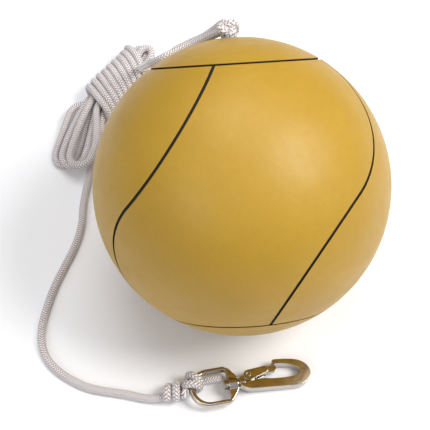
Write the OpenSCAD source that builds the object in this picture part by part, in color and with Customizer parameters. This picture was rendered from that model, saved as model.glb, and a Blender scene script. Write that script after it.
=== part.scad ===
// Tetherball set: laminated rubber ball, braided rope and swivel-eye snap hook.
// The ball stands on z = 0 at the origin. The rope and the hook lie on the same surface.

/* [Ball] */
// Outside diameter of the ball
ball_d = 215; // [170:1:260]
// Thickness of the outer cover panels
cover_t = 1.1; // [0.8:0.1:2]
// Thickness of the black carcass under the panels
carcass_t = 0.5; // [0.4:0.1:1.2]
// Thickness of the nylon winding
winding_t = 0.4; // [0.3:0.1:1]
// Thickness of the bladder
bladder_t = 0.6; // [0.5:0.1:1.2]
// Width of the channel between two panels
seam_w = 2.4; // [1.5:0.1:4]
// Half angle of the round panel at each pole, in degrees
cap_angle = 34.5; // [28:0.5:40]
// Angle that the rope's pole leans away from upright, in degrees
pole_tilt = 51.5; // [30:0.5:60]
// Turn of the pole about the vertical, in degrees
pole_yaw = 4.5; // [-10:0.5:10]

/* [Valve] */
// Diameter of the rubber valve plug
plug_d = 7; // [6:0.1:9]
// Diameter of the needle bore in the plug
needle_d = 2.2; // [1.8:0.1:2.6]
// Length of the valve plug
plug_len = 16; // [10:0.5:20]

/* [Rope anchor] */
// Diameter of the rope
rope_d = 6.4; // [5:0.1:8]
// Diameter of the steel cross pin that the rope passes under
anchor_pin_d = 4; // [3:0.1:5]
// Wall of the rubber anchor cup
cup_wall = 2; // [1.5:0.1:3]
// Depth of the cross pin below the mouth of the cup
pin_depth = 11; // [9:0.5:14]
// Radius of the flange that bonds the cup to the bladder
flange_r = 24; // [20:0.5:30]
// Thickness of that flange
flange_t = 1.4; // [1:0.1:2.5]

/* [Swivel eye] */
// Length of the eye with its boss
eye_len = 37.4; // [34:0.1:42]
// Width of the eye across its two arms
eye_w = 29.2; // [24:0.1:36]
// Width of the metal in the eye's arms
eye_arm = 3; // [2.5:0.1:4]
// Width of the metal at the round end of the eye
eye_bow = 3.8; // [3:0.1:4.5]
// Thickness of the eye
eye_t = 6; // [5:0.1:6.8]
// Length of the swivel boss, which is also the thickness of the eye's bar
boss_len = 8; // [6:0.1:10]
// Diameter of the swivel boss
boss_d = 10; // [9:0.1:12]

/* [Snap hook] */
// Thickness of the hook body and of the gate's ears
hook_t = 8; // [7:0.1:9]
// Diameter of the swivel stem
stem_d = 6; // [5:0.1:6.4]
// Diameter of the headed end of the stem
head_d = 8.8; // [8:0.1:10]
// Diameter of the gate's rivet pin
gate_pin_d = 3; // [2.5:0.1:3.5]
// Thickness of the tang that the gate turns on
tang_t = 4.2; // [3.5:0.1:4.6]
// Thickness of the leaf spring
leaf_t = 0.8; // [0.6:0.1:1]

/* [Hidden] */
$fn = 72;

// Colours
gold = "goldenrod";
rubber_black = [0.08, 0.08, 0.08];
rope_white = [0.92, 0.9, 0.88];
chrome = [0.72, 0.72, 0.74];

// ---------- Ball: derived sizes ----------
ball_r = ball_d / 2;
cement = 0.05;                                   // cement film between two layers
carcass_r = ball_r - cover_t - cement;
winding_r = carcass_r - carcass_t - cement;
bladder_r = winding_r - winding_t - cement;
flange_out_r = bladder_r - bladder_t - cement;
reach = ball_d;                                  // longer than any cut through the ball
seam_half = seam_w / 2 / ball_r * 180 / PI;      // half channel as an angle at the centre

// Each wavy channel is two circle arcs. The circle's centre stands at this latitude,
// and this far in longitude from where the channel crosses the equator.
seam_lat = 36;
seam_lon = 33;
seam_base = 41.5;                                // longitude of the first channel
seam_radius = acos(cos(seam_lat) * cos(seam_lon));
seam_cross = seam_half * sin(seam_radius) / (cos(seam_lat) * sin(seam_lon));
seam_outer = acos(cos(seam_lat) * cos(seam_lon + seam_cross));
seam_inner = acos(cos(seam_lat) * cos(seam_lon - seam_cross));

// Valve
plug_gap = 0.1;
seat_r = plug_d / 2 + plug_gap + 2.2;
seat_flange_r = seat_r + 7;
seat_flange_t = 1.5;
valve_hole_r = plug_d / 2 + 0.3;

// Rope anchor
rope_r = rope_d / 2;
rope_gap = 0.3;                                  // slack between rope and hard pieces
bight_r = anchor_pin_d / 2 + rope_gap + rope_r;  // bend of the rope under the cross pin
cup_in_r = bight_r + rope_r + 0.9;
cup_r = cup_in_r + cup_wall;
cup_depth = pin_depth + bight_r + rope_r + rope_gap;
ball_knot_r = 1.3 * rope_d;                      // knot that rests on the mouth of the cup
mouth_z = sqrt(ball_r * ball_r - cup_r * cup_r); // rim of the cup, flush with the ball

// ---------- Snap hook: derived sizes ----------
// Hook frame: +x along the swivel stem towards the hook, +y towards the gate.
hook_tilt = 4;
hook_yaw = 12;
face_gap = 0.3;                                  // end float on each side of the eye's bar
run_gap = 0.05;                                  // radial clearance of a turning fit
bar_x = -1.6;                                    // outer face of the eye's boss
bar_in_x = bar_x - boss_len;                     // inner face of the eye's bar
bow_r = eye_w / 2;
eye_end = bar_x - eye_len;
bow_x = eye_end + bow_r;                         // centre of the eye's round end
bow_line_r = bow_r - eye_bow / 2;                // middle line of the metal at the round end
head_t = 3;
eye_turn_angle = 149.5;                          // middle of the rope's two turns round the eye
eye_turn_gap = 0.6;                              // between the two turns, which lie side by side
eye_turn_side = rope_r + eye_turn_gap / 2;       // each turn's distance from that middle
eye_turn_step = asin(eye_turn_side / bow_line_r);
eye_turn_slack = 0.4;
eye_turn_r = norm([eye_bow / 2, eye_t / 2]) + eye_turn_slack + rope_r;
table_gap = 0.06;                                // under the lowest turn of rope
hook_z = table_gap + eye_turn_r + rope_r
    + (bow_x + bow_line_r * cos(eye_turn_angle - eye_turn_step)) * sin(hook_tilt);
hook_at = [0, -113, hook_z];
hook_knot_lumps = [[-46.4, -119, 7.4], [-53.5, -120, 6.4]];  // x, y and radius, resting on z = 0

pivot = [7.2, 3.8];
ear_r = 4.4;
ear_end = [20, 6.2, 2.9];
slot_w = tang_t + 2 * face_gap;
tongue_t = slot_w + 0.2;
tongue_line = [[18.4, 6.2, 2.5], [26.9, 6.4, 2.5]];
web = [[13, 7.4], [24, 7.9], [24, 12], [13, 12]];  // where the gate's two ears are joined
tang_line = [[pivot[0], pivot[1], ear_r - 0.5], [pivot[0] + 0.3, -2, 4]];
neck_end = 3.5;                                  // how far the stem's collar runs into the hook
leaf_w = slot_w - 1.4;
rivet_proud = 0.2;                               // how far the gate pin stands out on each side
gate_open = 15;                                  // full travel of the gate, in degrees
sweep_gap = 0.4;

// Middle line and half width of the hook's metal, from the stem round to the nose
hook_line = [
    [4, 0, 5.2], [9, -1.5, 5.8], [14, -3.4, 4.4], [21, -4.9, 3.5], [29, -5.9, 3.4],
    [37, -6.6, 3.6], [45, -6.2, 4.1], [50.2, -2, 4], [49, 3.6, 3.3], [44, 7.6, 2.5],
    [36, 10, 1.9], [28.4, 11, 1.7]
];
leaf_line = [[17, -0.25], [13.6, -0.25], [12.4, 0.9], [12.4, 4.4], [13.2, 6.2], [14.8, 6.6]];

// ---------- Rope: routes of the stretches that aren't coiled ----------
lead_route = [
    [-13, 91, 173], [-20, 94, 165], [-28, 95, 158], [-38, 94, 153], [-48, 90, 151], [-57, 86, 149],
    [-63, 88, 142], [-67, 95, 132], [-70, 105, 118], [-73, 116, 103], [-76, 128, 86], [-79, 141, 69],
    [-81, 153, 52], [-83, 165, 37], [-85, 175, 25]
];
ball_tail_route = [[-12, 95, 176], [-18, 101, 166], [-27, 104, 156], [-38, 104, 149], [-48, 100, 146]];
run_route = [
    [-127, 84, 5], [-127, 72, 4], [-129, 58, 3.2], [-130, 44, 3.2], [-130, 30, 3.2], [-132, 16, 3.2],
    [-136, 2, 3.2], [-141, -11, 3.2], [-146, -24, 3.2], [-150, -37, 3.2], [-153, -51, 3.2],
    [-155, -65, 3.2], [-154, -79, 3.2], [-149, -91, 3.2], [-140, -101, 3.2], [-128, -109, 3.2],
    [-115, -115, 3.2], [-101, -118, 3.2], [-87, -120, 3.2], [-74, -123, 3.4], [-62, -124, 4.5],
    [-52, -121, 7]
];
hook_tail_route = [[-31, -111, 3.4], [-25, -109, 3.2], [-19, -108, 3.2], [-13, -107, 3.2]];

// The routes are drawn for these two radii and follow the ball and the table when they change
drawn_ball_r = 107.5;
drawn_rope_r = 3.2;
hank_points = 5;                                 // points at the lead's end that stay by the hank
knot_points = 3;                                 // points at each start that stay by the knot
pole_way = [-sin(pole_tilt) * sin(pole_yaw), sin(pole_tilt) * cos(pole_yaw), cos(pole_tilt)];

// ---------- Functions ----------
function unit(v) = v / norm(v);
function last(list) = list[len(list) - 1];

// Point at fraction t of the smooth curve from p1 to p2, with its neighbours p0 and p3
function curve_point(p0, p1, p2, p3, t) =
    0.5 * (2 * p1 + (p2 - p0) * t + (2 * p0 - 5 * p1 + 4 * p2 - p3) * t * t
        + (3 * p1 - 3 * p2 + p3 - p0) * t * t * t);

// The smooth curve through all the points, with this many steps between two of them
function smooth(points, steps) = concat(
    [for (i = [0 : len(points) - 2]) for (s = [0 : steps - 1]) curve_point(
        points[max(i - 1, 0)], points[i], points[i + 1], points[min(i + 2, len(points) - 1)], s / steps)],
    [last(points)]);

function tangent(path, i) = unit(path[min(i + 1, len(path) - 1)] - path[max(i - 1, 0)]);
function left_of(t) = [-t[1], t[0]];

// Route point p moved with the ball's surface. A share of 0 leaves it where it was drawn, and
// a spread of 0 moves it straight along the pole, as the knot on the mouth of the cup moves.
function with_ball(p, share, spread) =
    let (away = unit(p - [0, 0, drawn_ball_r]), out = unit(pole_way + spread * (away - pole_way)))
        p + share * ([0, 0, ball_r - drawn_ball_r] + (ball_r + rope_r - drawn_ball_r - drawn_rope_r) * out);
function on_table(route) = [for (p = route) p + [0, 0, rope_r - drawn_rope_r]];

// A band's line holds [x, y, half width]; side is 1 for its left edge and -1 for its right one
function flat(line) = [for (p = line) [p[0], p[1]]];
function band_edge(line, side) =
    [for (i = [0 : len(line) - 1]) flat(line)[i] + side * line[i][2] * left_of(tangent(flat(line), i))];
function reversed(list) = [for (i = [len(list) - 1 : -1 : 0]) list[i]];

// Half circle round a band's end, clockwise from the left of the direction t
function round_end(end, t) = [for (a = [15 : 15 : 165])
    [end[0], end[1]] + end[2] * (cos(a) * left_of(t) + sin(a) * t)];

// ---------- Shape helpers ----------
// Flat band of changing width with square ends
module strip(line) polygon(concat(band_edge(line, 1), reversed(band_edge(line, -1))));

// The same with round ends
module band(line) {
    polygon(concat(
        band_edge(line, 1), round_end(last(line), tangent(flat(line), len(line) - 1)),
        reversed(band_edge(line, -1)), round_end(line[0], -tangent(flat(line), 0))));
}

module plate(t) linear_extrude(t, center = true) children();

// Cylinder along +x from x0 to x1
module x_rod(x0, x1, r) translate([x0, 0, 0]) rotate([0, 90, 0]) cylinder(h = x1 - x0, r = r);

module ring(major, minor) rotate_extrude() translate([major, 0]) circle(minor);

// Rope tube with one ring of points at each point of its route
rope_sides = 10;
knot_sides = 48;
module rope_tube(route) {
    rings = len(route);
    skin = [
        for (i = [0 : rings - 1])
            let (t = tangent(route, i), s = unit(cross(t, [0, 0, 1])), u = cross(s, t))
                for (k = [0 : rope_sides - 1])
                    route[i] + rope_r * (cos(360 * k / rope_sides) * s + sin(360 * k / rope_sides) * u)
    ];
    sides = [
        for (i = [0 : rings - 2]) for (k = [0 : rope_sides - 1])
            let (a = i * rope_sides + k, b = i * rope_sides + (k + 1) % rope_sides)
                for (f = [[a, b, b + rope_sides], [a, b + rope_sides, a + rope_sides]]) f
    ];
    first_cap = [for (k = [0 : rope_sides - 1]) rope_sides - 1 - k];
    last_cap = [for (k = [0 : rope_sides - 1]) (rings - 1) * rope_sides + k];
    polyhedron(skin, concat(sides, [first_cap, last_cap]));
}

// ---------- Frames ----------
module at_ball_centre() translate([0, 0, ball_r]) children();
module pole_frame() at_ball_centre() rotate([-pole_tilt, 0, pole_yaw]) children();
module valve_frame() at_ball_centre() rotate([0, 90, 0]) children();
module hook_frame() translate(hook_at) rotate([0, hook_tilt, hook_yaw]) children();

// ---------- Ball ----------
module shell(r, t) {
    difference() {
        sphere(r);
        sphere(r - t);
    }
}

module anchor_hole(r) pole_frame() cylinder(h = reach, r = r);
module valve_hole(r) valve_frame() cylinder(h = reach, r = r);

// A closed layer of the ball, pierced by the anchor cup and the valve seat
module layer(r, t) {
    difference() {
        at_ball_centre() shell(r, t);
        anchor_hole(cup_r + cement);
        valve_hole(seat_r + cement);
    }
}

// Cone from the ball's centre, aimed at a latitude and a longitude
module cone_at(lat, lon, half) {
    rotate([0, 90 - lat, lon - 90]) cylinder(h = reach, r1 = 0, r2 = reach * tan(half));
}

// Upper space from this longitude on, a quarter or a half turn wide
module upper_quarter(lon) rotate([0, 0, lon - 90]) cube(reach);
module upper_half(lon) rotate([0, 0, lon - 90]) translate([-reach, 0, 0]) cube([2 * reach, reach, reach]);

// Cuts that leave, above the equator, only the side panel that starts at this longitude
module side_cuts(lon) {
    upper_half(lon + 180 - seam_lon);
    difference() {
        upper_quarter(lon + 90 - seam_lon);
        cone_at(seam_lat, lon + 90 - seam_lon, seam_inner);
    }
    intersection() {
        translate([-reach, -reach, 0]) cube([2 * reach, 2 * reach, reach]);
        cone_at(seam_lat, lon - seam_lon, seam_outer);
    }
}

// Below the equator a side panel is the same shape, turned half a turn about its own middle
module side_panel(index) {
    lon = seam_base + 90 * index;
    middle = [sin(lon + 45), -cos(lon + 45), 0];
    color(gold) difference() {
        pole_frame() difference() {
            rotate([0, 0, 180]) shell(ball_r, cover_t);
            side_cuts(lon);
            rotate(a = 180, v = middle) side_cuts(lon);
            cone_at(90, 0, cap_angle + seam_half);
            cone_at(-90, 0, cap_angle + seam_half);
        }
        valve_hole(valve_hole_r);
    }
}

module cap_panel(lat) {
    color(gold) difference() {
        pole_frame() intersection() {
            shell(ball_r, cover_t);
            cone_at(lat, 0, cap_angle - seam_half);
        }
        anchor_hole(cup_r + cement);
    }
}

module top_panel() cap_panel(90);
module bottom_panel() cap_panel(-90);
module side_panel_1() side_panel(0);
module side_panel_2() side_panel(1);
module side_panel_3() side_panel(2);
module side_panel_4() side_panel(3);
module carcass() color(rubber_black) layer(carcass_r, carcass_t);
module winding_layer() color("ivory") layer(winding_r, winding_t);
module bladder() color("dimgray") layer(bladder_r, bladder_t);

module valve_seat() {
    color(rubber_black) valve_frame() difference() {
        union() {
            translate([0, 0, ball_r - plug_len]) cylinder(h = plug_len - cover_t - cement - 0.2, r = seat_r);
            intersection() {
                shell(flange_out_r, seat_flange_t);
                cylinder(h = reach, r = seat_flange_r);
            }
        }
        cylinder(h = reach, r = plug_d / 2 + plug_gap);
    }
}

module valve_plug() {
    color("dimgray") valve_frame() translate([0, 0, ball_r - plug_len - 0.3]) difference() {
        cylinder(h = plug_len, r = plug_d / 2);
        translate([0, 0, -1]) cylinder(h = plug_len + 2, r = needle_d / 2);
    }
}

// ---------- Rope anchor ----------
module anchor_cup() {
    color(rubber_black) pole_frame() difference() {
        union() {
            translate([0, 0, ball_r - cup_depth - cup_wall])
                cylinder(h = mouth_z - ball_r + cup_depth + cup_wall, r = cup_r);
            intersection() {
                shell(flange_out_r, flange_t);
                cylinder(h = reach, r = flange_r);
            }
        }
        translate([0, 0, ball_r - cup_depth]) cylinder(h = reach, r = cup_in_r);
        translate([0, 0, ball_r - pin_depth]) x_rod(-cup_r - 1, cup_r + 1, anchor_pin_d / 2);
    }
}

module anchor_pin() {
    color(chrome) pole_frame() translate([0, 0, ball_r - pin_depth])
        x_rod(-cup_r + 0.3, cup_r - 0.3, anchor_pin_d / 2);
}

// Bight under the cross pin, its two legs, and the knot on the mouth of the cup
module ball_knot() {
    color(rope_white) pole_frame() {
        translate([0, 0, ball_r - pin_depth]) {
            rotate([-90, 0, 90]) rotate_extrude(angle = 180) translate([bight_r, 0]) circle(rope_r);
            for (side = [-1, 1]) translate([0, side * bight_r, 0]) cylinder(h = pin_depth + 3, r = rope_r);
        }
        translate([0, 0, ball_r + ball_knot_r - 2]) sphere(ball_knot_r);
    }
}

// ---------- Rope ----------
module ball_tail() {
    color(rope_white) rope_tube([for (i = [0 : len(ball_tail_route) - 1])
        with_ball(ball_tail_route[i], 1, min(1, i / knot_points))]);
}
module rope_lead() {
    ends = len(lead_route) - 1;
    color(rope_white) rope_tube([for (i = [0 : ends])
        with_ball(lead_route[i], min(1, (ends - i) / hank_points), min(1, i / knot_points))]);
}
module rope_run() color(rope_white) rope_tube(on_table(run_route));
module hook_tail() color(rope_white) rope_tube(on_table(hook_tail_route));

// Outline between two round ends
module lobe(a, b, r, h) {
    linear_extrude(h) hull() {
        translate(a) circle(r);
        translate(b) circle(r);
    }
}

// Outer shape of the hank: loops at the near end, the wrapped middle and the far bight
module rope_hank() {
    color(rope_white) {
        lobe([-130, 134], [-142, 95], 3 * rope_d, 3 * rope_d);
        lobe([-125, 143], [-92, 190], 3.2 * rope_d, 4.2 * rope_d);
        lobe([-92, 190], [-88, 204], 2 * rope_d, 3 * rope_d);
    }
}

// One turn of the rope round the eye's bow; the two turns stand parallel
module turn_round_eye(side) {
    color(rope_white) hook_frame() translate([bow_x, 0, 0])
        rotate([0, 0, eye_turn_angle + side * eye_turn_step]) translate([bow_line_r, 0, 0])
            rotate([90, -90, -side * eye_turn_step]) ring(eye_turn_r, rope_r, $fn = knot_sides);
}

module eye_turn() turn_round_eye(-1);

// The other turn and the knot behind it
module hook_knot() {
    turn_round_eye(1);
    color(rope_white) for (lump = hook_knot_lumps)
        translate([lump[0], lump[1], lump[2]]) rotate([0, 0, 90]) sphere(lump[2], $fn = knot_sides);
}

// ---------- Swivel eye ----------
module eye_outline() {
    translate([bow_x, 0]) circle(bow_r);
    polygon([
        [bow_x, bow_r], [bar_in_x - 1.4, bow_r], [bar_in_x + 2.4, bow_r - 2.2], [bar_x, boss_d / 2],
        [bar_x, -boss_d / 2], [bar_in_x + 2.4, 2.2 - bow_r], [bar_in_x - 1.4, -bow_r], [bow_x, -bow_r]
    ]);
}

module eye_window() {
    window_r = bow_r - eye_arm;
    window_x = eye_end + eye_bow + window_r;
    translate([window_x, 0]) circle(window_r);
    translate([window_x, -window_r]) square([bar_in_x - window_x, 2 * window_r]);
}

module swivel_eye() {
    color(chrome) hook_frame() difference() {
        union() {
            plate(eye_t) difference() {
                eye_outline();
                eye_window();
            }
            x_rod(bar_in_x, bar_x, boss_d / 2);
        }
        x_rod(bar_in_x - 1, bar_x + 1, stem_d / 2 + run_gap);
    }
}

// ---------- Snap hook ----------
function turned(point, angle) = let (v = [point[0], point[1]] - pivot) [
    pivot[0] + v[0] * cos(angle) + v[1] * sin(angle),
    pivot[1] - v[0] * sin(angle) + v[1] * cos(angle)
];

// Room for the gate's ears, shut and fully open
module gate_sweep() {
    for (angle = [0, gate_open / 2, gate_open + 1]) {
        far = turned(ear_end, angle);
        band([[pivot[0], pivot[1], ear_r + sweep_gap], [far[0], far[1], ear_end[2] + sweep_gap]]);
    }
}

module hook_body() {
    color(chrome) hook_frame() difference() {
        union() {
            difference() {
                union() {
                    plate(hook_t) band(smooth(hook_line, 4));
                    x_rod(bar_x + face_gap, neck_end, head_d / 2);
                }
                plate(2 * hook_t) gate_sweep();
            }
            plate(tang_t) band(tang_line);
            x_rod(bar_in_x - face_gap - 1, bar_x + face_gap + 1, stem_d / 2);
            x_rod(bar_in_x - face_gap - head_t, bar_in_x - face_gap, head_d / 2);
        }
        translate(pivot) cylinder(h = 2 * hook_t, r = gate_pin_d / 2, center = true);
    }
}

// Pressed channel: two ears joined by a web along the outer edge, and a tongue under the nose
module gate() {
    color(chrome) hook_frame() difference() {
        union() {
            difference() {
                plate(hook_t) band([[pivot[0], pivot[1], ear_r], ear_end]);
                plate(slot_w) difference() {
                    translate([-5, -5]) square([35, 20]);
                    polygon(web);
                }
            }
            plate(tongue_t) band(tongue_line);
        }
        translate(pivot) cylinder(h = 2 * hook_t, r = gate_pin_d / 2 + run_gap, center = true);
    }
}

module gate_pin() {
    color(chrome) hook_frame() translate(pivot)
        cylinder(h = hook_t + 2 * rivet_proud, r = gate_pin_d / 2, center = true);
}

module gate_spring() {
    color("dimgray") hook_frame() plate(leaf_w)
        strip([for (p = smooth(leaf_line, 4)) [p[0], p[1], leaf_t / 2]]);
}

bladder();
winding_layer();
carcass();
top_panel();
bottom_panel();
side_panel_1();
side_panel_2();
side_panel_3();
side_panel_4();
valve_seat();
valve_plug();
anchor_cup();
anchor_pin();
ball_knot();
ball_tail();
rope_lead();
rope_hank();
rope_run();
eye_turn();
hook_knot();
hook_tail();
swivel_eye();
hook_body();
gate();
gate_pin();
gate_spring();
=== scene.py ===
"""Tetherball set: rubber ball, braided rope in a hank, swivel eye and snap hook. Lengths are in metres."""

import math

import bpy
import numpy as np
from mathutils import Matrix, Vector


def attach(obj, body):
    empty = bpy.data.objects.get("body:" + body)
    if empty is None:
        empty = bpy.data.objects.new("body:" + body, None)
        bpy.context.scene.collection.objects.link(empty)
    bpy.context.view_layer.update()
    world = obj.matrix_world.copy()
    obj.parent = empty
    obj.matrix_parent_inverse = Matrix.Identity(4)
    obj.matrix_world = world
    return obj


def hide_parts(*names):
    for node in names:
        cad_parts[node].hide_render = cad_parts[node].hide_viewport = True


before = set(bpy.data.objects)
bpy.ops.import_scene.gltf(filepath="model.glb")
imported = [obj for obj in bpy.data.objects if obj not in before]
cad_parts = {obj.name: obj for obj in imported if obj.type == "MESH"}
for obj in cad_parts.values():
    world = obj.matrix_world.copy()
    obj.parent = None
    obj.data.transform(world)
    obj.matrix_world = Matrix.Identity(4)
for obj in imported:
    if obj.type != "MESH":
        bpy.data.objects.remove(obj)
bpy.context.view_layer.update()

MM = 0.001
BALL_R = 107.5 * MM
BALL_C = np.array([0.0, 0.0, BALL_R])
CHANNEL_WALL = (BALL_R - 0.45 * MM, BALL_R - 0.25 * MM)  # black below the first, gold above the second
ROPE_R = 3.2 * MM
rng = np.random.default_rng(7)


# ---------- Camera ----------
CAMERA_AT = (-0.0192, -0.3777, 0.7208)
CAMERA_TILT = 30  # degrees from straight down
SENSOR_WIDTH, FOCAL_LENGTH = 36.0, 82.94  # millimetres


def make_camera():
    data = bpy.data.cameras.new("camera")
    data.sensor_width, data.lens = SENSOR_WIDTH, FOCAL_LENGTH
    data.clip_start, data.clip_end = 0.01, 20.0
    cam = bpy.data.objects.new("camera", data)
    cam.location = CAMERA_AT
    cam.rotation_euler = (math.radians(CAMERA_TILT), 0, 0)
    bpy.context.scene.collection.objects.link(cam)
    bpy.context.scene.camera = cam


make_camera()


# ---------- Curves ----------
def unit(v):
    return v / np.maximum(np.linalg.norm(v, axis=-1, keepdims=True), 1e-12)


def spline(points, per=24):
    """A centripetal Catmull-Rom curve through the points."""
    p = np.asarray(points, float)
    p = np.vstack([2 * p[0] - p[1], p, 2 * p[-1] - p[-2]])
    out = []
    for i in range(1, len(p) - 2):
        a, b, c, d = p[i - 1 : i + 3]
        t0 = 0.0
        t1 = t0 + max(np.linalg.norm(b - a), 1e-6) ** 0.5
        t2 = t1 + max(np.linalg.norm(c - b), 1e-6) ** 0.5
        t3 = t2 + max(np.linalg.norm(d - c), 1e-6) ** 0.5
        t = np.linspace(t1, t2, per, endpoint=False)[:, None]
        a1 = (t1 - t) / (t1 - t0) * a + (t - t0) / (t1 - t0) * b
        a2 = (t2 - t) / (t2 - t1) * b + (t - t1) / (t2 - t1) * c
        a3 = (t3 - t) / (t3 - t2) * c + (t - t2) / (t3 - t2) * d
        b1 = (t2 - t) / (t2 - t0) * a1 + (t - t0) / (t2 - t0) * a2
        b2 = (t3 - t) / (t3 - t1) * a2 + (t - t1) / (t3 - t1) * a3
        out.append((t2 - t) / (t2 - t1) * b1 + (t - t1) / (t2 - t1) * b2)
    return np.vstack([*out, p[-2:-1]])


def even(line, step):
    """The line again, with points step apart."""
    along = np.concatenate([[0], np.cumsum(np.linalg.norm(np.diff(line, axis=0), axis=1))])
    at = np.linspace(0, along[-1], max(2, round(along[-1] / step) + 1))
    return np.stack([np.interp(at, along, line[:, k]) for k in range(3)], axis=1)


def softened(line, times):
    """The line with each point drawn towards its neighbours, as many times as said."""
    for _ in range(times):
        line = line.copy()
        line[1:-1] = 0.5 * line[1:-1] + 0.25 * (line[:-2] + line[2:])
    return line


# ---------- Frames of part.scad: points in millimetres go in, points in metres come out ----------
def turn(x, y, z):
    """OpenSCAD's rotate([x, y, z])."""
    return np.array(
        Matrix.Rotation(math.radians(z), 3, "Z")
        @ Matrix.Rotation(math.radians(y), 3, "Y")
        @ Matrix.Rotation(math.radians(x), 3, "X")
    )


POLE = turn(-51.5, 0, 4.5)
HOOK = turn(0, 4, 12)
HOOK_AT = np.array([0.0, -113.0, 8.1]) * MM


def from_pole(points):
    return BALL_C + np.asarray(points, float) * MM @ POLE.T


def from_hook(points):
    return HOOK_AT + np.asarray(points, float) * MM @ HOOK.T


# ---------- Rope routes, as part.scad has them, in millimetres ----------
LEAD_INSIDE = [(0, 0, 91), (0, -3.9, 92.6), (0, -5.5, 96.5), (0, -4.5, 103), (0, -1, 109), (-2, 2, 113)]
TAIL_INSIDE = [(0, 0, 91), (0, 3.9, 92.6), (0, 5.5, 96.5), (0, 4.5, 103), (0, 2, 109)]
LEAD = [
    (-13, 91, 173), (-20, 94, 165), (-28, 95, 158), (-38, 94, 153), (-48, 90, 151), (-57, 86, 149),
    (-63, 88, 142), (-67, 95, 132), (-70, 105, 118), (-73, 116, 103), (-76, 128, 86), (-79, 141, 69),
    (-81, 153, 52), (-83, 165, 37), (-85, 175, 25),
]
BALL_TAIL = [(-12, 95, 176), (-18, 101, 166), (-27, 104, 156), (-38, 104, 149), (-48, 100, 146)]
RUN = [
    (-127, 84, 5), (-127, 72, 4), (-129, 58, 3.2), (-130, 44, 3.2), (-130, 30, 3.2), (-132, 16, 3.2),
    (-136, 2, 3.2), (-141, -11, 3.2), (-146, -24, 3.2), (-150, -37, 3.2), (-153, -51, 3.2),
    (-155, -65, 3.2), (-154, -79, 3.2), (-149, -91, 3.2), (-140, -101, 3.2), (-128, -109, 3.2),
    (-115, -115, 3.2), (-101, -118, 3.2), (-87, -120, 3.2), (-74, -123, 3.4), (-62, -124, 4.5),
    (-52, -121, 7),
]
INTO_KNOT = (-45, -119.5, 8.4)
HOOK_TAIL = [(-31, -111, 3.4), (-25, -109, 3.2), (-19, -108, 3.2), (-13, -107, 3.2)]

ROUTE_STEP = 1.2 * MM

# ---------- Hank ----------
# The hank's middle line on the table, from its loops to its far bights, in millimetres.
AXIS = spline([
    (-143, 84, 0), (-141, 100, 0), (-134, 122, 0), (-125, 142, 0), (-115, 158, 0),
    (-104, 174, 0), (-93, 190, 0), (-87, 203, 0), (-84, 212, 0),
])
AXIS = even(AXIS, 0.5)
AXIS_S = np.arange(len(AXIS)) * np.linalg.norm(AXIS[1] - AXIS[0])
AXIS_T = unit(np.gradient(AXIS, axis=0))


def on_axis(s, u, z):
    """The point at distance s along the hank, u to its right and z above the table."""
    s, u, z = (np.atleast_1d(np.asarray(x, float)) for x in (s, u, z))
    at = np.stack([np.interp(s, AXIS_S, AXIS[:, k]) for k in (0, 1)], axis=1)
    t = unit(np.stack([np.interp(s, AXIS_S, AXIS_T[:, k]) for k in (0, 1)], axis=1))
    at += t * (np.minimum(s, 0) + np.maximum(s - AXIS_S[-1], 0))[:, None]
    at += u[:, None] * np.stack([t[:, 1], -t[:, 0]], axis=1)
    return np.column_stack([at, np.broadcast_to(z, len(at))])


WRAP_FROM, WRAP_PITCH, WRAP_TURNS, WRAP_SKEW = 127.5, 7.0, 9.36, 6.0
WRAP_WIDE_FAR, WRAP_WIDE_MORE, WRAP_WIDE_OVER = 12.6, 3.6, 60  # half width, its growth and over what length
WRAP_HIGH, WRAP_MID = 9.6, 12.8  # half height, and the height of the middle
WRAP_SQUARE = 2.7  # 2 is an ellipse, more is squarer
WRAP_UNEVEN = 0.5


def wraps():
    """The turns round the bundle, from the far end down to the loops, right side first."""
    angle = np.radians(np.arange(0, 360 * WRAP_TURNS, 10))
    turns = angle / (2 * math.pi)
    s = WRAP_FROM - WRAP_PITCH * turns
    share = np.clip((WRAP_FROM - s) / WRAP_WIDE_OVER, 0, 1)
    wide = WRAP_WIDE_FAR + WRAP_WIDE_MORE * share
    wobble = np.interp(turns, np.arange(13), rng.normal(0, WRAP_UNEVEN, 13))
    c, n = np.cos(angle), np.sin(angle)
    flat = 1 / (np.abs(c) ** WRAP_SQUARE + np.abs(n) ** WRAP_SQUARE) ** (1 / WRAP_SQUARE)
    u, z = (wide + wobble) * c * flat, WRAP_MID - WRAP_HIGH * n * flat
    return on_axis(s - WRAP_SKEW * u / wide + 0.6 * wobble, u, z)


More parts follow.
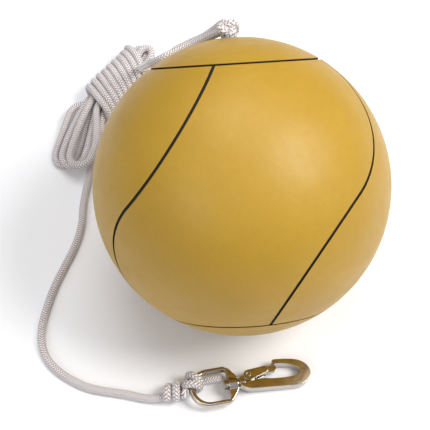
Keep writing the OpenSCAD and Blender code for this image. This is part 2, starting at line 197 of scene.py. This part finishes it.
def bundle():
    """The passes through the wraps, with a bight at each end of each, and the way out to the free run."""
    # Each pass: (u, z) low in the loops, at the near end of the wraps, and at their far end
    passes = [
        ((3.0, 3.6), (-3.2, 9.6), (-2.2, 9.2)),
        ((-8.4, 9.0), (-9.6, 9.6), (-9.2, 9.0)),
        ((10.5, 9.0), (3.2, 9.6), (4.2, 9.8)),
        ((-0.6, 15.4), (-4.0, 15.4), (-4.4, 15.4)),
        ((17.5, 14.0), (3.4, 15.6), (2.6, 16.0)),
        ((16.2, 3.3), (9.6, 9.6), (10.0, 11.0)),
    ]
    # Each near bight: its centre along and across the hank, radius and height. Each far bight the same.
    near = [(9.5, -6.4, 9.6, 3.3), (6.0, 1.4, 9.6, 9.8), (2.4, 8.8, 9.0, 16.2)]
    far = [(129.0, -5.4, 6.6, 7.0), (131.5, 0.6, 6.6, 13.0), (129.5, 7.2, 6.6, 18.6)]
    line = []

    def leg(i, up):
        low, mid, top = passes[i]
        between = [(a + b) / 2 for a, b in zip(low, mid)]
        stops = [(26, *low), (44, *between), (60, *mid), (90, *mid), (120, *top)]
        line.extend(on_axis(*p)[0] for p in (stops if up else stops[::-1]))

    def bight(b, sense, end):
        centre, across, r, z = b
        for a in range(0, 181, 30):
            c = math.cos(math.radians(a)) * sense
            line.append(on_axis(centre + end * r * math.sin(math.radians(a)), across + r * c, z)[0])

    # From the last wrap down the left side into the first near bight
    down = [(57, -17.0, 7.8), (50, -18.6, 9.0), (42, -17.6, 7.6), (33, -16.4, 5.6), (22, -16.0, 3.8)]
    line.extend(on_axis(*p)[0] for p in down)
    for k in range(3):
        bight(near[k], -1, -1)
        leg(2 * k, True)
        bight(far[k], -1 if k == 2 else 1, 1)
        leg(2 * k + 1, False)
    line.append(on_axis(10, 16.6, 3.4)[0])
    return line


def whole_rope():
    """The rope's middle line from the cross pin in the ball to the knot at the eye, in metres."""
    onto_wraps = on_axis([115.5, 119.0], [16.4, 15.6], [20.5, 16.0])
    outside = [*LEAD, *onto_wraps, *wraps()[1:], *bundle(), *RUN, INTO_KNOT]
    points = np.vstack([from_pole(LEAD_INSIDE), np.array(outside) * MM])
    return softened(even(spline(points, 12), ROUTE_STEP), 4)


RELAX_ROUNDS = 40
TOUCHING = 2 * ROPE_R * 0.985
PUSH, SMOOTH = 1.1, 0.25
TABLE_CLEAR, BALL_CLEAR = 0.05 * MM, 0.2 * MM


def relaxed(line, held):
    """The line with its free strands pushed apart to a diameter, above the table and outside the ball."""
    line = line.copy()
    n = len(line)
    step = np.linalg.norm(np.diff(line, axis=0), axis=1).mean()
    apart = int(5 * ROPE_R / step)  # points nearer than this along the rope are not another strand
    free = ~held
    index = np.arange(n)
    for _ in range(RELAX_ROUNDS):
        push = np.zeros_like(line)
        count = np.zeros(n)
        for block in np.array_split(index[free], 8):
            d = line[block][:, None] - line[None]
            far = np.linalg.norm(d, axis=2)
            far[np.abs(block[:, None] - index[None]) < apart] = 1
            i, j = np.nonzero(far < TOUCHING)
            if len(i):
                move = d[i, j] / np.maximum(far[i, j], 1e-6)[:, None] * (TOUCHING - far[i, j])[:, None] * 0.5
                np.add.at(push, block[i], move)
                np.add.at(count, block[i], 1)
        line[free] += push[free] / np.maximum(count[free], 1)[:, None] * PUSH
        smooth = line.copy()
        smooth[2:-2] = line[2:-2] + SMOOTH * (0.5 * (line[1:-3] + line[3:-1]) - line[2:-2])
        line[free] = smooth[free]
        line[free, 2] = np.maximum(line[free, 2], ROPE_R + TABLE_CLEAR)
        d = line - BALL_C
        r = np.linalg.norm(d, axis=1)
        nearest = BALL_R + ROPE_R + BALL_CLEAR
        inside = free & (r < nearest)
        line[inside] = BALL_C + d[inside] / r[inside][:, None] * nearest
    return line


# ---------- Braided rope ----------
BRAID_PITCH = 2.0 * MM
BRAID_COLUMNS = 8
BRAID_LEAN = 0.55  # pitches that a stitch rises or falls across its column
BRAID_SIDE = 2.4  # how fast a stitch falls away to its sides
BRAID_LOW = 0.93  # radius between the stitches, as a share of the rope's
TUBE_SIDES, RING_STEP = 24, 0.66 * MM


def frames_along(line):
    """Unit tangents and a normal that turns as little as it can."""
    t = unit(np.gradient(line, axis=0))
    n = np.zeros_like(t)
    first = np.cross(t[0], [0, 0, 1.0])
    n[0] = unit(first if np.linalg.norm(first) > 0.1 else np.cross(t[0], [1.0, 0, 0]))
    for i in range(1, len(t)):
        v = n[i - 1] - t[i] * (n[i - 1] @ t[i])
        n[i] = v / max(np.linalg.norm(v), 1e-9)
    return t, n, np.cross(t, n)


def rope_mesh(name, line, rounded_ends=True):
    """A braided tube along the line, whose coat rises and falls with its stitches, and its ring centres."""
    line = even(line, RING_STEP)
    t, n, b = frames_along(line)
    rings = len(line)
    along = np.concatenate([[0], np.cumsum(np.linalg.norm(np.diff(line, axis=0), axis=1))])
    angle = np.arange(TUBE_SIDES) * 2 * math.pi / TUBE_SIDES
    column = angle / (2 * math.pi) * BRAID_COLUMNS
    which = np.floor(column + 0.5).astype(int)
    across = column - which
    odd = which % 2
    lean = across * (2 * BRAID_LEAN * odd - BRAID_LEAN)
    phase = along[:, None] / BRAID_PITCH + 0.5 * odd[None] + lean[None]
    grain = (0.5 + 0.5 * np.cos(2 * math.pi * phase)) * (1 - BRAID_SIDE * across**2)[None]
    r = ROPE_R * (BRAID_LOW + (1 - BRAID_LOW) * grain)
    if rounded_ends:
        for from_end in (along, along[-1] - along):
            edge = np.clip(from_end / (0.5 * ROPE_R), 0, 1)
            r *= np.sqrt(1 - 0.45 * (1 - edge[:, None]) ** 2)
    p = line[:, None] + r[..., None] * (
        np.cos(angle)[None, :, None] * n[:, None] + np.sin(angle)[None, :, None] * b[:, None]
    )
    verts = p.reshape(-1, 3)
    i = np.arange(rings - 1)[:, None] * TUBE_SIDES
    k = np.arange(TUBE_SIDES)[None]
    beside = (k + 1) % TUBE_SIDES
    faces = np.stack([i + k, i + beside, i + TUBE_SIDES + beside, i + TUBE_SIDES + k], axis=2).reshape(-1, 4)
    mesh = bpy.data.meshes.new(name)
    caps = [list(range(TUBE_SIDES))[::-1], list(range((rings - 1) * TUBE_SIDES, rings * TUBE_SIDES))]
    mesh.from_pydata(verts.tolist(), [], faces.tolist() + caps)
    place = np.zeros((len(verts), 3), np.float32)
    place[:, 0] = np.repeat(along, TUBE_SIDES) / BRAID_PITCH
    place[:, 1] = np.tile(np.cos(angle), rings)
    place[:, 2] = np.tile(np.sin(angle), rings)
    attribute = mesh.attributes.new("braid", "FLOAT_VECTOR", "POINT")
    attribute.data.foreach_set("vector", place.ravel())
    mesh.polygons.foreach_set("use_smooth", [True] * len(mesh.polygons))
    mesh.update()
    obj = bpy.data.objects.new(name, mesh)
    bpy.context.scene.collection.objects.link(obj)
    return obj, line


# ---------- The rope and its short end ----------
HANK_FROM_Y, HANK_TOP = 76 * MM, 34 * MM
HELD_AT_ENDS = 12  # points

rope_line = whole_rope()
held = (rope_line[:, 1] <= HANK_FROM_Y) | (rope_line[:, 2] >= HANK_TOP)
held[:HELD_AT_ENDS] = held[-HELD_AT_ENDS:] = True
rope_line = softened(relaxed(rope_line, held), 6)
rope, rope_path = rope_mesh("rope", rope_line)

# The short end lies a little closer to the ball than its plain tube, and is cut a little later
TAIL_SAG = np.array([(0, 0, 0), (0, -0.8, -0.8), (0, -2.7, -1.6), (0, -3, -1.8), (-2.6, -3.6, -3)])
tail_line = np.vstack([from_pole(TAIL_INSIDE), (np.array(BALL_TAIL) + TAIL_SAG) * MM])
rope_end, end_path = rope_mesh("rope_end", softened(even(spline(tail_line, 12), ROUTE_STEP), 2))


# ---------- Knots ----------
def knot_line(centre, across, up, size, squeeze):
    """An overhand knot with its ends joined, about centre: across and up are its two flat axes."""
    t = np.linspace(0, 2 * math.pi, 160)
    x, y, z = np.sin(t) + 2 * np.sin(2 * t), np.cos(t) - 2 * np.cos(2 * t), -np.sin(3 * t)
    across, up = unit(np.asarray(across, float)), unit(np.asarray(up, float))
    out = np.cross(across, up)
    flat = (x[:, None] * across + y[:, None] * up * squeeze) * size
    return np.asarray(centre) + flat + z[:, None] * out * size * 1.5


def make_ball_knot():
    centre = from_pole([(-3, -1, 112.4)])[0]
    line = knot_line(centre, POLE[:, 0], unit(POLE[:, 2] + 0.3 * POLE[:, 1]), 1.95 * MM, 0.95)
    return rope_mesh("ball_knot_tied", line, rounded_ends=False)[0]


def make_hook_knot():
    """Two wraps round the standing part, two turns round the eye's bow, and the short end in the eye."""
    # In millimetres
    start, end = np.array([-56.0, -121.5, 7.7]), np.array([-42.5, -118.5, 9.5])
    axis = unit(end - start)
    side = unit(np.cross(axis, [0, 0, 1.0]))
    top = np.cross(side, axis)
    turns = np.radians(np.arange(0, 760, 15))
    share = turns / turns[-1]
    reach = 4.2 + 1.0 * np.sin(math.pi * share)
    around = np.cos(turns)[:, None] * side + np.sin(turns)[:, None] * top
    wraps_round_rope = start + share[:, None] * (end - start) + reach[:, None] * around
    bow_centre, bow_r = np.array([-24.4, 0, 0]), 12.7
    turn_out, turn_up = 5.4, 6.4  # half width and half height of a turn round the bow
    loops = []
    for place, first, last in ((163.0, -60, 300), (136.0, 0, 250)):
        out = np.array([math.cos(math.radians(place)), math.sin(math.radians(place)), 0.0])
        for a in range(first, last + 1, 20):
            c, n = math.cos(math.radians(a)), math.sin(math.radians(a))
            loops.append(bow_centre + (bow_r + turn_out * c) * out + np.array([0, 0, turn_up * n]))
    line = np.vstack([wraps_round_rope * MM, from_hook(loops), np.array(HOOK_TAIL) * MM])
    return rope_mesh("hook_knot_tied", softened(even(spline(line, 6), 0.8 * MM), 6))[0]


ball_knot = make_ball_knot()
hook_knot = make_hook_knot()


# ---------- Materials ----------
def new_material(name):
    m = bpy.data.materials.new(name)
    m.use_nodes = True
    m.node_tree.nodes.clear()
    tree = m.node_tree
    out = tree.nodes.new("ShaderNodeOutputMaterial")
    shader = tree.nodes.new("ShaderNodeBsdfPrincipled")
    tree.links.new(shader.outputs[0], out.inputs[0])
    return m, tree, shader


class Build:
    """Short calls for a material's nodes."""

    def __init__(self, tree):
        self.tree = tree

    def put(self, socket, value):
        if isinstance(value, bpy.types.NodeSocket):
            self.tree.links.new(value, socket)
        else:
            socket.default_value = value

    def math(self, op, a, b=0.0):
        n = self.tree.nodes.new("ShaderNodeMath")
        n.operation = op
        self.put(n.inputs[0], a)
        self.put(n.inputs[1], b)
        return n.outputs[0]

    def parts(self, vector):
        """The vector's x, y and z."""
        n = self.tree.nodes.new("ShaderNodeSeparateXYZ")
        self.put(n.inputs[0], vector)
        return n.outputs

    def distance(self, vector, point):
        n = self.tree.nodes.new("ShaderNodeVectorMath")
        n.operation = "DISTANCE"
        self.put(n.inputs[0], vector)
        n.inputs[1].default_value = point
        return n.outputs["Value"]

    def mix(self, factor, a, b):
        n = self.tree.nodes.new("ShaderNodeMix")
        n.data_type = "RGBA"
        self.put(n.inputs[0], factor)
        self.put(n.inputs[6], a)
        self.put(n.inputs[7], b)
        return n.outputs[2]

    def noise(self, vector, scale, detail, rough):
        n = self.tree.nodes.new("ShaderNodeTexNoise")
        self.put(n.inputs["Vector"], vector)
        n.inputs["Scale"].default_value = scale
        n.inputs["Detail"].default_value = detail
        n.inputs["Roughness"].default_value = rough
        return n.outputs["Fac"]

    def ramp(self, value, low, high, to_low=0.0, to_high=1.0):
        n = self.tree.nodes.new("ShaderNodeMapRange")
        self.put(n.inputs[0], value)
        for i, v in zip((1, 2, 3, 4), (low, high, to_low, to_high)):
            n.inputs[i].default_value = v
        return n.outputs[0]

    def bump(self, height, strength, distance):
        n = self.tree.nodes.new("ShaderNodeBump")
        n.inputs["Strength"].default_value = strength
        n.inputs["Distance"].default_value = distance
        self.put(n.inputs["Height"], height)
        return n.outputs[0]

    def place(self):
        return self.tree.nodes.new("ShaderNodeTexCoord").outputs["Object"]


def rgb(r, g, b):
    """An sRGB colour, 0 to 255, as linear values."""
    return (*[c / 255 / 12.92 if c <= 10 else ((c / 255 + 0.055) / 1.055) ** 2.4 for c in (r, g, b)], 1.0)


def rubber_gold():
    m, tree, s = new_material("ball_rubber")
    b = Build(tree)
    at = b.place()
    wide = b.noise(at, 18, 3, 0.55)
    fine = b.noise(at, 260, 3, 0.6)
    specks = b.ramp(b.noise(at, 900, 2, 0.7), 0.70, 0.80)
    colour = b.mix(b.ramp(wide, 0.3, 0.7), rgb(172, 134, 35), rgb(180, 142, 45))
    colour = b.mix(b.ramp(fine, 0.35, 0.75, 0.0, 0.25), colour, rgb(161, 123, 29))
    colour = b.mix(b.math("MULTIPLY", specks, 0.35), colour, rgb(140, 105, 45))
    # The walls of the channels are black, as their floor is
    colour = b.mix(b.ramp(b.distance(at, (0, 0, BALL_R)), *CHANNEL_WALL), rgb(20, 19, 18), colour)
    b.put(s.inputs["Base Color"], colour)
    b.put(s.inputs["Roughness"], b.ramp(b.noise(at, 60, 3, 0.6), 0.3, 0.7, 0.40, 0.52))
    s.inputs["Specular IOR Level"].default_value = 0.42
    pebble = b.noise(at, 1500, 1, 0.5)
    b.put(s.inputs["Normal"], b.bump(b.math("ADD", pebble, b.math("MULTIPLY", fine, 1.2)), 0.16, 0.0004))
    return m


def rubber_black():
    m, tree, s = new_material("carcass_rubber")
    b = Build(tree)
    at = b.place()
    grain = b.noise(at, 1400, 3, 0.7)
    b.put(s.inputs["Base Color"], b.mix(b.ramp(grain, 0.35, 0.75), rgb(12, 12, 13), rgb(38, 36, 34)))
    s.inputs["Roughness"].default_value = 0.62
    b.put(s.inputs["Normal"], b.bump(grain, 0.5, 0.0004))
    return m


def braided_nylon():
    """Stitches in columns along the rope that lean left and right by turns, with painted shade darkening the
    gaps between them.
    """
    m, tree, s = new_material("braided_nylon")
    b = Build(tree)
    place = tree.nodes.new("ShaderNodeAttribute")
    place.attribute_name = "braid"
    along, cx, cy = b.parts(place.outputs["Vector"])
    turn_share = b.math("DIVIDE", b.math("ARCTAN2", cy, cx), 2 * math.pi)
    column = b.math("MULTIPLY", b.math("FRACT", turn_share), float(BRAID_COLUMNS))
    index = b.math("FLOOR", b.math("ADD", column, 0.5))
    across = b.math("SUBTRACT", column, index)
    odd = b.math("MODULO", index, 2.0)
    lean = b.math("MULTIPLY", across, b.math("SUBTRACT", b.math("MULTIPLY", odd, 2 * BRAID_LEAN), BRAID_LEAN))
    phase = b.math("ADD", b.math("ADD", along, b.math("MULTIPLY", odd, 0.5)), lean)
    wave = b.math("COSINE", b.math("MULTIPLY", phase, 2 * math.pi))
    grain = b.math("ADD", 0.5, b.math("MULTIPLY", wave, 0.5))
    side = b.math("SUBTRACT", 1.0, b.math("MULTIPLY", b.math("MULTIPLY", across, across), BRAID_SIDE))
    height = b.math("MULTIPLY", grain, side)
    fibre = b.math("SINE", b.math("MULTIPLY", b.math("ADD", across, b.math("MULTIPLY", phase, 0.2)), 60.0))
    at = b.place()
    soft = b.noise(at, 700, 2, 0.6)
    gap_shade_patches = b.ramp(b.noise(at, 520, 2, 0.5), 0.52, 0.66, 0.0, 0.55)
    # Painted light and shade: darker in the low parts between the stitches, lighter on their crests
    colour = b.mix(b.ramp(height, 0.02, 0.5), rgb(128, 114, 112), rgb(240, 234, 233))
    colour = b.mix(b.ramp(soft, 0.4, 0.75, 0.0, 0.3), colour, rgb(212, 200, 200))
    # Painted shade in the gaps between the stitches, broken into patches by noise
    gap_shade = b.ramp(height, 0.12, 0.32, 1.0, 0.0)
    colour = b.mix(b.math("MULTIPLY", gap_shade, gap_shade_patches), colour, rgb(72, 60, 58))
    b.put(s.inputs["Base Color"], colour)
    s.inputs["Roughness"].default_value = 0.5
    s.inputs["Sheen Weight"].default_value = 0.2
    s.inputs["Sheen Roughness"].default_value = 0.4
    shape = b.math("ADD", height, b.math("MULTIPLY", fibre, 0.05))
    b.put(s.inputs["Normal"], b.bump(shape, 0.6, 0.0005))
    return m


def plated(name, colour, rough):
    m, tree, s = new_material(name)
    b = Build(tree)
    at = b.place()
    wear = b.noise(at, 120, 4, 0.65)
    scuff = b.noise(at, 900, 3, 0.7)
    darker = [c * 0.9 for c in colour]
    b.put(s.inputs["Base Color"], b.mix(b.ramp(wear, 0.35, 0.7), rgb(*colour), rgb(*darker)))
    s.inputs["Metallic"].default_value = 1.0
    b.put(s.inputs["Roughness"], b.ramp(scuff, 0.3, 0.75, rough, rough + 0.04))
    b.put(s.inputs["Normal"], b.bump(scuff, 0.02, 0.0002))
    return m


def plain_layer(name, low, high):
    """The hidden layers of the ball and its valve."""
    m, tree, s = new_material(name)
    b = Build(tree)
    at = b.place()
    grain = b.noise(at, 800, 3, 0.6)
    b.put(s.inputs["Base Color"], b.mix(b.ramp(grain, 0.3, 0.7), rgb(*low), rgb(*high)))
    s.inputs["Roughness"].default_value = 0.55
    b.put(s.inputs["Normal"], b.bump(grain, 0.25, 0.0003))
    return m


gold = rubber_gold()
black = rubber_black()
nylon = braided_nylon()
chrome = plated("bright_nickel", (196, 188, 178), 0.09)
steel = plated("spring_steel", (120, 116, 112), 0.28)
grey_rubber = plain_layer("bladder_rubber", (60, 58, 56), (78, 76, 73))
winding = plain_layer("nylon_winding", (205, 198, 180), (226, 220, 205))

SIDE_PANELS = [f"side_panel_{i}" for i in range(1, 5)]

FINISHES = [
    (gold, ["top_panel", "bottom_panel", *SIDE_PANELS]),
    (black, ["carcass", "valve_seat", "anchor_cup"]),
    (grey_rubber, ["bladder", "valve_plug"]),
    (winding, ["winding_layer"]),
    (chrome, ["anchor_pin", "swivel_eye", "hook_body", "gate", "gate_pin"]),
    (steel, ["gate_spring"]),
]
for material, names in FINISHES:
    for name in names:
        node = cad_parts[name]
        node.data.materials.clear()
        node.data.materials.append(material)

for piece in (rope, rope_end, ball_knot, hook_knot):
    piece.data.materials.append(nylon)
    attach(piece, "root")
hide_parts("rope_lead", "rope_hank", "rope_run")
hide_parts("ball_tail")
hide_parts("ball_knot")
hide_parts("eye_turn", "hook_knot", "hook_tail")


# ---------- Rounded edges of the metal ----------
WELD = 0.15 * MM
FLAT_ANGLE, EDGE_ANGLE = math.radians(1.5), math.radians(32)
BEVELS = {"hook_body": 0.35 * MM, "gate": 0.45 * MM, "gate_pin": 0.4 * MM}
EYE_BEVEL = 1.0 * MM


def soften_edges(name, width, join_flats=True):
    """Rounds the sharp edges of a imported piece; one with no window has its flat faces joined first."""
    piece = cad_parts[name]
    weld = piece.modifiers.new("weld", "WELD")
    weld.merge_threshold = WELD
    if join_flats:
        flat = piece.modifiers.new("flat", "DECIMATE")
        flat.decimate_type, flat.angle_limit = "DISSOLVE", FLAT_ANGLE
    bevel = piece.modifiers.new("bevel", "BEVEL")
    bevel.width, bevel.segments, bevel.limit_method = width, 3, "ANGLE"
    bevel.angle_limit, bevel.use_clamp_overlap, bevel.miter_outer = EDGE_ANGLE, False, "MITER_ARC"
    piece.data.polygons.foreach_set("use_smooth", [True] * len(piece.data.polygons))
    even_out = piece.modifiers.new("even", "WEIGHTED_NORMAL")
    even_out.keep_sharp = False


soften_edges("swivel_eye", EYE_BEVEL, join_flats=False)
for name, width in BEVELS.items():
    soften_edges(name, width)


# ---------- Floor and light ----------
FLOOR_HALF = 3
TABLE_COLOUR = (0.93, 0.93, 0.94, 1)


def make_floor():
    h = FLOOR_HALF
    mesh = bpy.data.meshes.new("floor")
    mesh.from_pydata([(-h, -h, 0), (h, -h, 0), (h, h, 0), (-h, h, 0)], [], [(0, 1, 2, 3)])
    floor = bpy.data.objects.new("floor", mesh)
    bpy.context.scene.collection.objects.link(floor)
    m, _, s = new_material("floor")
    s.inputs["Base Color"].default_value = TABLE_COLOUR
    s.inputs["Roughness"].default_value = 0.6
    s.inputs["Specular IOR Level"].default_value = 0.2
    mesh.materials.append(m)


def area_light(name, place, aim, size, watts, colour):
    data = bpy.data.lights.new(name, "AREA")
    data.shape, data.size, data.energy, data.color = "DISK", size, watts, colour
    lamp = bpy.data.objects.new(name, data)
    lamp.location = place
    lamp.rotation_euler = (Vector(aim) - Vector(place)).to_track_quat("-Z", "Y").to_euler()
    bpy.context.scene.collection.objects.link(lamp)


make_floor()
area_light("key", (0.95, -0.1, 1.3), (0, 0, 0.08), 0.8, 21, (1, 0.985, 0.96))
area_light("top", (-0.1, 0.5, 1.7), (0, 0, 0.05), 1.1, 10, (1, 1, 1))
area_light("fill", (-0.9, -0.9, 1.0), (0, 0, 0.1), 0.9, 4.5, (0.95, 0.97, 1))


def make_sky():
    """Light from above and little near the horizon, so that the metal has something dark to reflect."""
    world = bpy.data.worlds.new("studio")
    world.use_nodes = True
    sky = Build(world.node_tree)
    way = world.node_tree.nodes.new("ShaderNodeTexCoord").outputs["Generated"]
    background = world.node_tree.nodes["Background"]
    background.inputs[0].default_value = (0.95, 0.96, 1, 1)
    sky.put(background.inputs[1], sky.ramp(sky.parts(way)["Z"], 0.1, 0.55, 0.06, 0.55))
    bpy.context.scene.world = world


make_sky()
bpy.context.scene.view_settings.view_transform = "Standard"
